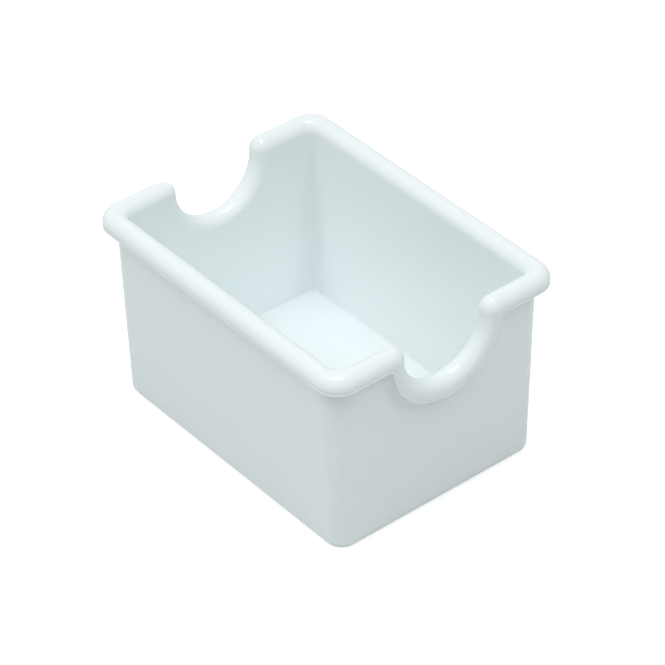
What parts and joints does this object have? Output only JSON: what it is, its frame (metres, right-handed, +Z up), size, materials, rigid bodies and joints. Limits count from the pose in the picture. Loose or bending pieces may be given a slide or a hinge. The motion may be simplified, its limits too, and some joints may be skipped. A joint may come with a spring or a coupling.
{
  "type": "sugar packet holder",
  "caption": "Open rectangular tabletop tub for sugar packets, moulded in one piece with a rolled rim that dips into a round finger notch at each end.",
  "frame": {"origin": "middle of the underside, on the surface that the holder stands on", "axes": "+X along the length, through both finger notches; +Y across, towards a plain long side; +Z up"},
  "size_m": [0.086, 0.065, 0.0505],
  "materials": {
    "white_plastic": "glossy, smooth moulded"
  },
  "bodies": {
    "root": {"moulded_tub": "white_plastic"}
  },
  "joints": []
}
